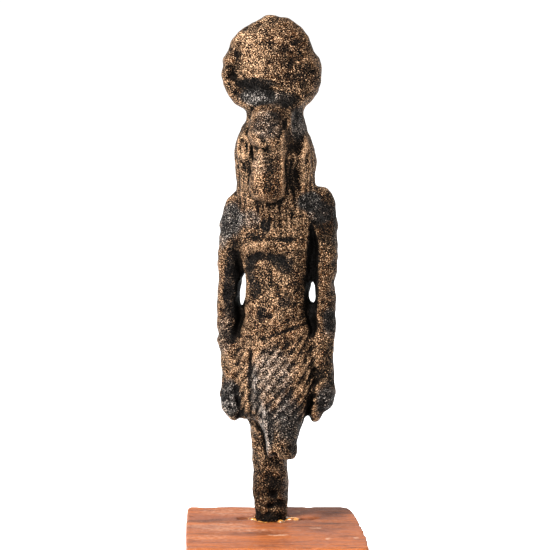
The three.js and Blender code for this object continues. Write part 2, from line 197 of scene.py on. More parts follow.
# Rounded masses and hollows: centre, radii and, for the gaps beside the waist, a lean in degrees
DISK = ((-1.0, 0.0, 92.15), (8.5, 4.4, 8.95))
CRANIUM = ((-0.3, 5.0, 79.5), (4.15, 4.3, 4.8))
BROW_KNOB = ((-1.3, 7.1, 78.2), (3.05, 2.6, 2.55))
SHOULDERS = [
    ((-7.0, -0.5, 60.2), (3.9, 3.3, 6.4)),
    ((8.6, -0.5, 62.4), (3.1, 3.3, 5.2)),
]
FISTS = [
    ((-9.1, 0.9, 25.1), (2.05, 2.9, 3.7)),
    ((-8.3, 1.1, 22.9), (1.4, 2.5, 2.6)),
    ((9.8, 0.9, 26.6), (2.1, 2.9, 3.7)),
    ((8.2, 1.3, 23.15), (1.6, 2.5, 2.35)),
]
ARM_GAPS = [
    ((-6.75, 0.0, 46.6), (0.95, 12.0, 3.6), -9.0),
    ((7.1, 0.0, 46.5), (0.5, 12.0, 1.85), 0.0),
]
ARMPITS = [
    ((7.55, 3.6, 51.0), (0.95, 3.0, 10.5)),
    ((-7.3, 3.8, 49.0), (0.8, 2.6, 8.0)),
]
STUMP_NOTCH = ((0.9, 6.2, 13.2), (1.2, 3.4, 2.3))

# The crescent's arc, and how thick and deep it is in the middle
CRESCENT_MIDDLE = (-0.95, 0.0, 90.2)
CRESCENT_RADIUS = (8.25, 6.4)
HORN_SPANS = (math.radians(107), math.radians(99))
CRESCENT_THICK = 2.5
CRESCENT_DEEP = 3.6
HORN_SHARE = 0.45  # how thick the horns' tips are against the middle

# Where the disk's edge is worn flat: how far out, and in which direction
CHIP_REACH = 8.3
CHIP_DIRECTION = (-0.55, 0.835)

# Carving
STRANDS = 26
STRAND_DEPTH = 0.11
PLEATS = 18
PLEAT_DEPTH = 0.2
PLEAT_LEAN = 0.14
PLEAT_FOOT = 21.3
FOLD_DEPTH = 0.5
CROWD = 0.35  # how much strands and pleats draw together at the front
BELT_LOW = 36.6
BELT_SLOPE = 0.36
BELT_BEND = 1.6
BELT_HALF_WIDTH = 0.9
BELT_RISE = 0.16
BELT_GROOVE = 0.3
BREAST_RISE = 0.45
CREASE_DEPTH = 0.22
MIDDLE_LINE_DEPTH = 0.2
RIB_ARCH_DEPTH = 0.32
BELLY_RISE = 0.3
SPINE_DEPTH = 0.45
FINGER_WIDTH = 1.55
FINGER_DEPTH = 0.14
STUMP_EDGE_RISE = 0.4
EYE_CENTRE = (-5.6, 4.75, 75.7)
EYE_RADIUS = 1.25
EYE_SQUEEZE = 0.58  # the eye is taller than it is wide
EYE_RING_RISE = 0.42
CHEEK_RISE = 0.4
BILL_RIDGE_RISE = 0.3
KNOB_RIDGE_RISE = 0.3

# Swellings and, under nothing, hollows: centre, radii and how far the surface rises
NAVEL = [((-0.4, 4.2, 42.2), (0.95, 2.0, 0.95), -0.6)]
FACE_MARKS = [
    ((4.1, 5.0, 70.0), (2.6, 6.0, 5.4), -1.6),
    ((-4.8, 5.0, 71.6), (1.8, 6.0, 2.2), -0.6),
    (EYE_CENTRE, (1.1, 5.0, 2.0), 0.4),
    ((4.8, 4.75, 76.3), (2.3, 5.0, 3.2), -1.0),
]
BILL_MARKS = [
    ((0.2, 9.0, 72.8), (2.4, 4.5, 4.2), -0.35),
    ((0.8, 9.8, 69.6), (2.2, 3.5, 2.2), -0.35),
]
KNOB_MARKS = [
    ((-0.9, 9.3, 77.6), (0.9, 2.0, 1.4), -0.5),
    ((-1.6, 9.2, 79.0), (0.9, 1.5, 0.8), 0.35),
]
LEG_MARKS = [
    ((-0.4, 1.6, 5.6), (1.3, 2.2, 1.2), -0.9),
    ((-0.9, 1.6, 3.2), (1.2, 2.2, 0.8), -0.8),
    ((-2.6, 0.6, 13.4), (2.0, 3.0, 2.2), 0.35),
]

# Wear of the surface: how wide its lumps are, how high they stand and the seed of their pattern
FIGURE_WEAR = [(4.5, 0.08, 1), (2.0, 0.15, 2), (1.1, 0.15, 3), (0.65, 0.07, 4)]
BLOCK_WEAR = [(5.0, 0.05, 11), (1.4, 0.04, 12)]
GLUE_WEAR = [(1.3, 0.13, 21), (0.6, 0.05, 22)]
BLOCK_WORN_OFF = 0.12
PIT_WIDTH = 1.5
PIT_DEPTH = 0.45
PIT_RARITY = 0.75
PIT_SEED = 5
NOISE_GAIN = 2.2  # brings the smoothed random values back to about one

# How the surroundings of a place are weighed: distance and share, and what counts as free
OPEN_REACHES = [(0.9, 0.3), (2.0, 0.35), (3.6, 0.35)]
OPEN_ENOUGH = 0.75
STANDS_OUT_FULLY = 0.25


def step(x, start, end):
    t = np.clip((x - start) / (end - start), 0.0, 1.0)
    return t * t * (3 - 2 * t)


def bump(x, centre, width):
    t = np.clip(1 - np.abs(x - centre) / width, 0.0, 1.0)
    return t * t * (3 - 2 * t)


def squared_reach(p, centre, radii):
    """Nothing at the centre of an ellipsoid and one on its skin."""
    return sum(((p[i] - centre[i]) / radii[i]) ** 2 for i in range(3))


def spot(p, centre, radii):
    """One at the centre of an ellipsoid, falling smoothly to nothing at its skin."""
    return np.clip(1 - squared_reach(p, centre, radii), 0.0, 1.0) ** 2


def marks_at(p, marks):
    return sum(rise * spot(p, centre, radii) for centre, radii, rise in marks)


def smooth_min(a, b, k):
    t = np.maximum(k - np.abs(a - b), 0.0) / k
    return np.minimum(a, b) - t * t * k * 0.25


def smooth_max(a, b, k):
    return -smooth_min(-a, -b, k)


def profile(stations, column, height):
    """The smooth curve through one column of a profile."""
    table = np.array(stations, float)
    at, value = table[:, 0], table[:, column]
    last = len(at) - 1
    before = np.maximum(np.arange(last + 1) - 1, 0)
    after = np.minimum(np.arange(last + 1) + 1, last)
    slope = (value[after] - value[before]) / (at[after] - at[before])
    i = np.clip(np.searchsorted(at, height) - 1, 0, last - 1)
    span = at[i + 1] - at[i]
    t = np.clip((height - at[i]) / span, 0.0, 1.0)
    rise = t * t * (3 - 2 * t)
    leave = t * (1 - t) ** 2 * span * slope[i]
    arrive = t * t * (1 - t) * span * slope[i + 1]
    return value[i] * (1 - rise) + value[i + 1] * rise + leave - arrive


def sections(stations, h):
    """Middle s, middle f, half width and half depth at each height of a grid of heights."""
    line = h[0, 0, :]
    return [profile(stations, column, line)[None, None, :] for column in (1, 2, 3, 4)]


def loft(stations, power=2.3, ends=0.5, grow=0.0):
    """The distance to a body through the stations of a profile."""

    def distance(p):
        s, f, h = p
        middle_s, middle_f, half_s, half_f = sections(stations, h)
        half_s = half_s + grow
        half_f = half_f + grow
        x = np.abs(s - middle_s) / half_s
        y = np.abs(f - middle_f) / half_f
        q = (x**power + y**power) ** (1 / power) + 1e-6
        steep = np.hypot(x ** (power - 1) / half_s, y ** (power - 1) / half_f) * q ** (1 - power)
        side = (q - 1) / np.maximum(steep, 1 / np.maximum(half_s, half_f))
        low, high = stations[0][0] - grow, stations[-1][0] + grow
        return smooth_max(smooth_max(side, h - high, ends), low - h, ends)

    return distance


def ellipsoid(centre, radii, lean=0.0):
    def distance(p):
        d = [p[i] - centre[i] for i in range(3)]
        if lean:
            c, n = math.cos(math.radians(lean)), math.sin(math.radians(lean))
            d[0], d[2] = c * d[0] + n * d[2], c * d[2] - n * d[0]
        k0 = np.sqrt(sum((d[i] / radii[i]) ** 2 for i in range(3))) + 1e-9
        k1 = np.sqrt(sum((d[i] / radii[i] ** 2) ** 2 for i in range(3))) + 1e-9
        return k0 * (k0 - 1) / k1

    return distance


def moon_disk(p):
    """The full moon, its upper edge worn flat at one place."""
    centre = DISK[0]
    chip = (p[0] - centre[0]) * CHIP_DIRECTION[0] + (p[2] - centre[2]) * CHIP_DIRECTION[1] - CHIP_REACH
    return smooth_max(ellipsoid(*DISK)(p), chip, 0.8)


def crescent(p):
    """An arc of round section under the disk, thick below and drawn out into two horns."""
    s, f, h = (p[i] - CRESCENT_MIDDLE[i] for i in range(3))
    arc = np.arctan2(s / CRESCENT_RADIUS[0], -h / CRESCENT_RADIUS[1])
    span = np.where(s < 0, *HORN_SPANS)
    share = np.clip(np.abs(arc) / span, 0.0, 1.0)
    swell = HORN_SHARE + (1 - HORN_SHARE) * np.cos(share * math.pi / 2)
    thick = CRESCENT_THICK * swell
    deep = CRESCENT_DEEP * (0.35 + 0.65 * swell)
    arc = np.clip(arc, -span, span)
    off_s = s - CRESCENT_RADIUS[0] * np.sin(arc)
    off_h = h + CRESCENT_RADIUS[1] * np.cos(arc)
    off = np.hypot(off_s, off_h)
    q = np.sqrt((off / thick) ** 2 + (f / deep) ** 2) + 1e-6
    return (q - 1) * thick


def crown_blend(p):
    """How softly the crescent joins the disk: worn smooth on the right and at the tip on the left."""
    s, _, h = p
    left_tip = step(-s, 6.2, 8.0) * step(h, 90.0, 92.5)
    return 0.4 + 3.4 * step(s, -0.5, 4.5) + 2.6 * left_tip


def turn_at(p, stations):
    """How far round a body a point is, from the front, with the columns drawn together there."""
    s, f, h = p
    middle_s, middle_f, half_s, half_f = sections(stations, h)
    angle = np.arctan2((s - middle_s) / half_s, (f - middle_f) / half_f)
    turn = angle
    for _ in range(4):
        turn = angle + CROWD * np.sin(turn)
    return turn


def strand_relief(p):
    """Strands all round the wig, and a parting between the lappets."""
    s, f, h = p
    fade = step(h, 57.0, 58.4) * step(h, 79.0, 73.0)
    away_from_face = 1 - 0.8 * bump(s, -0.3, 4.2) * step(f, 3.0, 5.5) * step(h, 64.0, 66.5)
    sway = 0.03 * np.sin(0.5 * h + 0.7 * s) + 0.008 * np.sin(2.1 * h - s)
    ridges = np.cos(STRANDS * (turn_at(p, WIG) + sway)) - 1
    return STRAND_DEPTH * ridges * fade * away_from_face


def belt_height(s, f):
    return BELT_LOW + BELT_SLOPE * np.maximum(s + BELT_BEND, 0.0) * step(f, -1.0, 1.5)


def kilt_relief(p):
    """Slanting pleats below a belt that climbs to one side, and a long fold near the hip."""
    s, f, h = p
    belt = belt_height(s, f)
    below = step(belt - h, 0.7, 1.6) * step(h, 21.0, 22.2)
    column = turn_at(p, KILT) - PLEAT_LEAN * (h - PLEAT_FOOT)
    broken = 0.65 + 0.35 * np.sin(1.7 * s + 0.9 * h) * np.sin(1.3 * h)
    pleat = PLEAT_DEPTH * broken * np.cos(PLEATS * column) - 0.1
    fold = -FOLD_DEPTH * bump(s, -4.3, 0.8) * step(f, 0.0, 1.5)
    band = BELT_RISE * step(BELT_HALF_WIDTH - np.abs(h - belt), -0.15, 0.3)
    groove = -BELT_GROOVE * bump(h, belt + BELT_HALF_WIDTH + 0.3, 0.6)
    groove = groove * (0.3 + 0.7 * step(s, -1.0, 2.5))
    near_body = step(np.abs(s), 8.8, 8.0)
    return ((pleat + fold) * below + band + groove) * near_body


def torso_relief(p):
    """Breasts, the line down the middle of the body, the arch of the ribs and the navel."""
    s, f, h = p
    ahead = step(f, 1.0, 2.2)
    breasts = BREAST_RISE * bump(np.abs(s + 0.5), 3.5, 3.2) * bump(h, 56.0, 2.2)
    crease = -CREASE_DEPTH * bump(np.abs(s + 0.8), 3.0, 2.6) * bump(h, 57.8 + 0.05 * s, 1.0)
    middle = -0.6 + 0.25 * np.sin(0.8 * h)
    line = -MIDDLE_LINE_DEPTH * bump(s, middle, 0.8) * step(h, 42.0, 45.0) * step(h, 55.0, 52.0)
    arch_height = 54.3 - 0.1 * (s + 1.5) ** 2
    arch = -RIB_ARCH_DEPTH * bump(h, arch_height, 1.4) * step(np.abs(s + 0.9), 5.4, 3.6)
    belly = BELLY_RISE * bump(s, -0.2, 4.4) * bump(h, 41.5, 3.8)
    return (breasts + crease + line + arch + belly + marks_at(p, NAVEL)) * ahead


def back_relief(p):
    """A shallow furrow down the spine."""
    s, f, h = p
    along = step(h, 38.0, 43.0) * step(h, 60.0, 56.0)
    return -SPINE_DEPTH * bump(s, 0.0, 1.5) * along * step(f, -1.5, -2.5)


def face_relief(p):
    """A ringed eye, a worn eye, hollows beside the bill, and the worn front of the bill."""
    s, f, h = p
    ahead = step(f, 1.0, 2.5)
    beside_bill = step(f, 7.5, 6.0)
    reach = np.hypot(s - EYE_CENTRE[0], (h - EYE_CENTRE[2]) * EYE_SQUEEZE)
    ring = EYE_RING_RISE * bump(reach, EYE_RADIUS, 0.65)
    cheek = CHEEK_RISE * bump(s, 6.4, 0.9) * bump(h, 76.0, 2.4)
    face = (marks_at(p, FACE_MARKS) + ring) * beside_bill + cheek
    bill_front = step(f, 6.4, 7.6)
    ridge = BILL_RIDGE_RISE * bump(s, 2.75, 0.42) * step(h, 65.5, 68.5) * step(h, 80.0, 78.0)
    return face * ahead + (marks_at(p, BILL_MARKS) + ridge) * bill_front


def brow_relief(p):
    """The broken pit in the knob over the bill, and the ridge to its right."""
    s, _, h = p
    slanting = bump(s - 0.32 * (h - 78), 2.9, 0.6)
    ridge = KNOB_RIDGE_RISE * slanting * step(h, 75.0, 77.0) * step(h, 83.0, 80.5)
    return marks_at(p, KNOB_MARKS) + ridge


def hand_relief(p):
    """Grooves between the curled fingers."""
    s, f, h = p
    fingers = np.cos((h - 22.6) / FINGER_WIDTH * 2 * math.pi) * bump(h, 25.0, 3.6)
    return FINGER_DEPTH * fingers * step(f, 1.2, 2.4) * step(np.abs(s), 7.0, 8.0)


def stump_relief(p):
    """The sharp edge down the front of the broken leg."""
    s, f, h = p
    edge = -1.4 + 0.12 * (25.0 - h)
    along = step(h, 13.0, 15.0) * step(h, 27.5, 24.5)
    return STUMP_EDGE_RISE * bump(s, edge, 0.7) * along * step(f, 3.5, 5.0)


def leg_relief(p):
    """The pits low on the standing leg and the scar across its shin."""
    return marks_at(p, LEG_MARKS)


class Field:
    """Distances on a grid of points, in millimetres. Each change is worked out only inside its box.

    The figure's f runs against the row's y, so that axis of its grid runs downwards. That keeps its
    faces the right way out.
    """

    def __init__(self, low, high, spacing, downward_axis=None):
        self.spacing = spacing
        self.axes = [np.arange(a, b, spacing) for a, b in zip(low, high)]
        if downward_axis is not None:
            self.axes[downward_axis] = self.axes[downward_axis][::-1]
        self.distance = np.full([len(a) for a in self.axes], 3.0)

    def inside(self, box):
        ranges = []
        for axis, (low, high) in zip(self.axes, box):
            hit = np.nonzero((axis >= low) & (axis <= high))[0]
            ranges.append(slice(hit[0], hit[-1] + 1))
        return tuple(ranges), np.meshgrid(*(a[r] for a, r in zip(self.axes, ranges)), indexing="ij")

    def add(self, shape, box, k):
        """Join a body on. A large k makes the join soft, and may vary from place to place."""
        where, p = self.inside(box)
        k = k(p) if callable(k) else k
        self.distance[where] = smooth_min(self.distance[where], shape(p), k)

    def cut(self, shape, box, k):
        where, p = self.inside(box)
        self.distance[where] = smooth_max(self.distance[where], -shape(p), k)

    def raise_by(self, relief, box):
        where, p = self.inside(box)
        self.distance[where] -= relief(p)

    def noise(self, scale, seed):
        """Smooth random values from -1 to 1 over the whole grid, with lumps of the given size."""
        spans = [abs(a[-1] - a[0]) for a in self.axes]
        lattice = np.random.default_rng(seed).uniform(-1, 1, [int(span / scale) + 4 for span in spans])
        for number, axis in enumerate(self.axes):
            at = np.abs(axis - axis[0]) / scale
            cell = at.astype(int)
            t = at - cell
            weights = [(1 - t) ** 2 / 2, 0.5 + t * (1 - t), t * t / 2]
            shape = [1, 1, 1]
            shape[number] = len(axis)
            lattice = sum(
                np.take(lattice, cell + k, axis=number) * weight.reshape(shape)
                for k, weight in enumerate(weights)
            )
        return lattice * NOISE_GAIN

    def lumps(self, layers):
        return sum(height * self.noise(scale, seed) for scale, height, seed in layers)

    def bend(self):
        """How much each place stands out from its surroundings. It is under nothing in hollows."""
        blurred = self.distance
        for _ in range(3):
            for axis in range(3):
                blurred = (np.roll(blurred, 1, axis) + blurred + np.roll(blurred, -1, axis)) / 3
        return blurred - self.distance

    def openness(self, place):
        """How free each place on the surface is: one in the open, near nothing in a deep crevice."""
        outwards = []
        for step_ahead in np.eye(3):
            ahead = self.sample(self.distance, place + step_ahead)
            outwards.append(ahead - self.sample(self.distance, place - step_ahead))
        outwards = np.stack(outwards, 1)
        outwards /= np.linalg.norm(outwards, axis=1)[:, None] + 1e-9
        total = 0
        for reach, weight in OPEN_REACHES:
            free = self.sample(self.distance, place + outwards * reach / self.spacing) / reach
            total = total + weight * np.clip(free / OPEN_ENOUGH, 0, 1)
        return total

    def surface(self):
        """Corner places and quads of the surface where the distance is nothing."""
        d = self.distance
        cells = tuple(n - 1 for n in d.shape)
        corners = [(i, j, k) for i in (0, 1) for j in (0, 1) for k in (0, 1)]
        part = {c: d[c[0]:c[0] + cells[0], c[1]:c[1] + cells[1], c[2]:c[2] + cells[2]] for c in corners}
        count = sum((part[c] < 0).astype(np.int8) for c in corners)
        active = (count > 0) & (count < 8)
        cell = np.argwhere(active)
        number = np.full(cells, -1)
        number[active] = np.arange(len(cell))

        # One corner of the mesh in each cell that the surface passes, amid the crossings of its edges
        at_corner = {c: part[c][active] for c in corners}
        place = np.zeros((len(cell), 3))
        crossings = np.zeros(len(cell))
        for a in corners:
            for axis in range(3):
                if a[axis]:
                    continue
                b = tuple(1 if i == axis else a[i] for i in range(3))
                va, vb = at_corner[a], at_corner[b]
                crosses = (va < 0) != (vb < 0)
                share = np.where(crosses, va / np.where(crosses, va - vb, 1), 0)
                for i in range(3):
                    place[:, i] += crosses * (a[i] + (share if i == axis else 0))
                crossings += crosses
        place = cell + place / crossings[:, None]

        # One quad for each step of the grid that crosses the surface, through the four cells round it
        quads = []
        for axis in range(3):
            u, v = (axis + 1) % 3, (axis + 2) % 3
            first = [slice(1, -1)] * 3
            first[axis] = slice(0, -1)
            second = list(first)
            second[axis] = slice(1, None)
            one, two = d[tuple(first)] < 0, d[tuple(second)] < 0
            for rising in (True, False):
                edge = np.argwhere((one & ~two) if rising else (~one & two))
                edge[:, u] += 1
                edge[:, v] += 1
                ring = []
                for du, dv in ((-1, -1), (0, -1), (0, 0), (-1, 0)):
                    near = edge.copy()
                    near[:, u] += du
                    near[:, v] += dv
                    ring.append(number[near[:, 0], near[:, 1], near[:, 2]])
                quads.append(np.stack(ring if rising else ring[::-1], 1))
        return place, np.concatenate(quads)

    def sample(self, values, place):
        """Values of the grid at places between its points."""
        low = np.clip(place.astype(int), 0, np.array(values.shape) - 2)
        t = np.clip(place - low, 0, 1)
        total = 0
        for i in (0, 1):
            for j in (0, 1):
                for k in (0, 1):
                    weight = 1
                    for axis, side in enumerate((i, j, k)):
                        weight = weight * (t[:, axis] if side else 1 - t[:, axis])
                    total = total + weight * values[low[:, 0] + i, low[:, 1] + j, low[:, 2] + k]
        return total


def profile_box(stations, margin=BOX_MARGIN):
    table = np.array(stations)
    return [
        ((table[:, 1] - table[:, 3]).min() - margin, (table[:, 1] + table[:, 3]).max() + margin),
        ((table[:, 2] - table[:, 4]).min() - margin, (table[:, 2] + table[:, 4]).max() + margin),
        (table[0, 0] - margin, table[-1, 0] + margin),
    ]


def round_box(centre, radii, margin=BOX_MARGIN):
    return [(c - r - margin, c + r + margin) for c, r in zip(centre, radii)]


def arm_blend(p):
    """How softly the arms join the body: softer beside the kilt than above it."""
    return 0.8 + 1.8 * step(p[2], 41.0, 35.0)


def head_blend(p):
    """How softly the crown and the knob join the head: crisp on the left, worn on the right."""
    return 0.4 + 3.0 * step(p[0], -0.6, 1.8)


def figure_field():
    """The figure's bodies joined one by one, with the carving of each."""
    field = Field(*FIGURE_GRID, downward_axis=1)

    def add_loft(stations, k, **look):
        field.add(loft(stations, **look), profile_box(stations), k)

    def add_round(shape, k, margin=BOX_MARGIN):
        field.add(ellipsoid(*shape), round_box(*shape, margin), k)

    crown_box = [(-14.0, 14.0), (-8.0, 8.0), (78.0, 104.0)]
    where, p = field.inside(crown_box)
    field.distance[where] = smooth_min(moon_disk(p), crescent(p), crown_blend(p))
    add_loft(WIG, 1.4, power=2.4, ends=1.6)
    field.raise_by(strand_relief, [(-9.5, 9.5), (-8.0, 8.0), (56.0, 85.0)])
    add_loft(TORSO, 0.8, power=2.5, ends=1.2)
    field.raise_by(torso_relief, [(-9.0, 9.0), (1.0, 7.0), (36.0, 57.5)])
    field.raise_by(back_relief, [(-3.0, 3.0), (-8.0, -1.0), (38.0, 60.0)])
    add_loft(KILT, 0.5, power=2.5, ends=0.9)
    add_loft(BROKEN_LEG, 1.5, power=2.6)
    field.raise_by(kilt_relief, [(-9.5, 9.5), (-7.5, 10.0), (21.0, 45.0)])
    field.raise_by(stump_relief, [(-3.0, 2.0), (3.0, 11.0), (12.0, 28.0)])
    for shoulder in SHOULDERS:
        add_round(shoulder, 1.6)
    for arm in (ARM_AT_VIEWERS_LEFT, ARM_AT_VIEWERS_RIGHT):
        add_loft(arm, arm_blend, power=2.2, ends=2.0)
    add_loft(ARM_WEB, 0.8, power=4, ends=0.5)
    for armpit in ARMPITS:
        field.cut(ellipsoid(*armpit), round_box(*armpit), 1.0)
    for fist in FISTS:
        add_round(fist, 0.8)
    for thumb in (THUMB_AT_VIEWERS_LEFT, THUMB_AT_VIEWERS_RIGHT):
        add_loft(thumb, 0.4, power=2.0)
    field.raise_by(hand_relief, [(-13.0, 13.5), (-5.0, 6.0), (20.0, 31.0)])
    add_loft(STANDING_LEG, 1.0, power=2.3)
    field.raise_by(leg_relief, [(-6.0, 4.0), (-1.0, 5.0), (1.0, 17.0)])
    field.cut(ellipsoid(*STUMP_NOTCH), round_box(*STUMP_NOTCH), 0.4)
    for centre, radii, lean in ARM_GAPS:
        field.cut(ellipsoid(centre, radii, lean), round_box(centre, radii, 1.5), 0.5)
    add_loft(BILL_SUPPORT, 0.6, power=3)
    add_loft(BILL, 0.8, power=2.2, ends=2.0)
    field.raise_by(face_relief, [(-8.0, 8.0), (1.0, 13.0), (62.0, 79.0)])
    for mass in (CRANIUM, BROW_KNOB):
        add_round(mass, head_blend, margin=3.5)
    field.raise_by(brow_relief, [(-4.0, 5.0), (6.0, 12.0), (74.0, 84.0)])
    wear(field)
    return field


def wear(field):
    """Lumps, pits and grain from casting, handling and burial."""
    lumps = field.lumps(FIGURE_WEAR)
    pits = np.maximum(field.noise(PIT_WIDTH, PIT_SEED) - PIT_RARITY, 0.0)
    above_block = step(field.axes[2], -0.5, 1.0)[None, None, :]
    field.distance -= (lumps - PIT_DEPTH * pits) * above_block


def new_object(name, data):
    obj = bpy.data.objects.new(name, data)
    bpy.context.scene.collection.objects.link(obj)
    return obj


def mesh_object(name, field, to_row=lambda points: points):
    place, quads = field.surface()
    steps = np.array([a[1] - a[0] for a in field.axes])
    start = np.array([a[0] for a in field.axes])
    points = start + place * steps
    mesh = bpy.data.meshes.new(name)
    mesh.from_pydata((to_row(points) * MM).tolist(), [], quads.tolist())
    mesh.validate()
    mesh.update()
    mesh.shade_smooth()
    return new_object(name, mesh), points, place


def add_values(obj, name, values):
    layer = obj.data.attributes.new(name, "FLOAT", "POINT")
    layer.data.foreach_set("value", np.asarray(values, np.float32))


def figure_to_row(points):
    c, n = math.cos(FIGURE_TURN), math.sin(FIGURE_TURN)
    s, f, h = points.T
    return np.stack([FIGURE_X + s * c - f * n, FIGURE_Y - s * n - f * c, BLOCK_HEIGHT + h], 1)


# Where the figure is black: black patina, and painted shade in recesses, under the disk, along the
# belt, at the breasts and beside the arms and the bill. Centre and radii, and how thick
BLACK_PATINA_AND_SHADE_PATCHES = [
    # Painted shadow under the disk, where it meets the crescent
    ((-3.3, 3.5, 88.0), (4.3, 4.0, 1.2), 0.9),
    ((2.4, 3.5, 84.4), (1.9, 4.0, 1.3), 0.6),
    ((-7.9, 2.0, 92.6), (1.2, 4.0, 1.8), 0.4),
    ((-4.1, 2.0, 99.0), (2.2, 4.0, 1.2), 0.35),
    ((-7.6, 2.0, 86.6), (1.4, 4.0, 1.4), 0.35),
    ((1.6, 8.0, 81.8), (1.2, 3.0, 1.3), 0.4),
    ((0.2, 8.5, 73.6), (2.4, 3.0, 2.6), 0.3),
    ((4.2, 4.5, 75.9), (1.3, 4.0, 2.2), 0.4),
    # The next two: painted shade in the hollow right of the bill and under the ringed eye
    ((3.6, 4.5, 69.6), (1.4, 4.0, 3.6), 0.5),
    ((-4.9, 4.5, 71.7), (1.0, 4.0, 1.3), 0.4),
    ((-6.2, 4.0, 71.9), (1.0, 4.0, 1.0), 0.4),
    ((-6.6, 3.0, 79.7), (1.5, 4.0, 2.6), 0.4),
    ((-8.2, 1.5, 54.8), (1.4, 4.0, 2.6), 0.55),
    ((-9.8, 2.0, 59.6), (1.4, 4.0, 2.4), 0.4),
    ((8.6, 2.0, 64.0), (2.4, 4.0, 1.3), 0.55),
    ((-9.5, 2.5, 26.6), (1.8, 4.0, 2.2), 0.5),
    # Painted shade on the inner side of the arm at the viewer's left
    ((-8.7, 1.5, 47.0), (1.7, 4.0, 7.0), 0.9),
    ((-9.2, 1.5, 37.6), (1.5, 4.0, 2.0), 0.6),
    # The next four: painted shade between the arm at the viewer's right and the body, in the pit
    # between the lappets, and in the creases at the breasts
    ((7.5, 0.5, 50.0), (1.2, 5.0, 12.0), 1.0),
    ((-1.2, 4.5, 60.2), (1.1, 3.0, 1.7), 0.85),
    ((-3.6, 4.0, 58.1), (2.2, 3.0, 1.0), 0.45),
    ((2.2, 4.0, 57.6), (2.2, 3.0, 0.7), 0.5),
    ((-4.5, 4.0, 53.3), (1.7, 3.0, 1.2), 0.6),
    ((-4.7, 4.0, 51.0), (1.3, 3.0, 2.4), 0.7),
    ((-1.9, 4.0, 54.0), (2.2, 3.0, 1.0), 0.6),
    ((1.1, 4.0, 53.2), (1.7, 3.0, 1.5), 0.7),
    ((2.5, 4.0, 52.2), (1.8, 3.0, 1.9), 0.7),
    ((2.4, 4.0, 45.0), (1.3, 3.0, 1.2), 0.7),
    ((-2.1, 4.0, 42.6), (1.3, 3.0, 1.8), 0.65),
    ((-3.6, 4.0, 47.6), (1.4, 3.0, 2.3), 0.65),
    # Painted shadow under the belt
    ((-0.5, 4.0, 37.3), (4.5, 3.0, 0.7), 0.3),
    ((-2.7, 5.0, 25.8), (0.9, 3.0, 2.6), 0.5),
    ((-5.5, 2.0, 22.2), (3.6, 5.0, 0.9), 0.7),
    ((5.0, 5.5, 18.5), (1.6, 4.0, 3.2), 0.45),
    ((3.2, 7.0, 15.2), (2.0, 4.0, 1.6), 0.5),
    ((11.1, 1.5, 41.3), (1.0, 4.0, 2.2), 0.65),
    ((0.1, 2.0, 6.9), (1.5, 3.0, 2.0), 0.6),
    ((-0.2, 2.0, 3.8), (2.3, 3.0, 1.0), 0.45),
    ((-1.4, 0.0, 0.8), (4.0, 5.0, 1.7), 0.6),
    ((-3.4, 2.0, 18.2), (1.4, 3.0, 2.0), 0.35),
]

# Where the patina is grey
GREY_PATCHES = [
    ((-3.1, 4.0, 85.5), (3.8, 4.0, 1.9), 1.0),
    ((-0.2, 8.0, 80.2), (3.2, 4.0, 3.4), 0.6),
    ((4.8, 3.0, 80.0), (2.0, 4.0, 3.4), 0.8),
    ((-1.2, 9.0, 72.8), (2.4, 4.0, 2.4), 0.4),
    ((7.0, 2.5, 65.0), (2.6, 4.0, 2.0), 0.95),
    ((9.4, 2.0, 62.6), (2.8, 4.0, 2.2), 0.75),
    ((-8.4, 2.0, 60.9), (2.6, 4.0, 3.6), 0.9),
    ((-10.3, 1.5, 58.4), (1.6, 4.0, 3.6), 0.7),
    ((-3.2, 5.0, 25.6), (1.5, 3.0, 2.8), 0.7),
    ((1.6, 4.0, 84.9), (3.4, 4.0, 1.7), 0.6),
    ((-4.5, 4.5, 61.5), (2.6, 4.0, 2.0), 0.6),
    ((-8.7, 3.0, 25.2), (2.4, 4.0, 4.0), 0.95),
    ((-10.0, 1.5, 38.0), (1.8, 4.0, 5.0), 0.5),
    ((10.6, 3.0, 25.4), (2.0, 4.0, 3.4), 0.85),
    ((11.0, 1.5, 41.0), (1.4, 4.0, 3.2), 0.7),
    ((3.4, 5.5, 22.0), (3.0, 4.0, 5.5), 0.8),
    ((-1.0, 6.5, 20.0), (2.0, 4.0, 6.0), 0.8),
    ((0.3, 5.0, 31.0), (4.6, 5.0, 5.6), 0.6),
    ((-3.9, 5.0, 30.2), (1.3, 4.0, 2.4), 0.6),
]
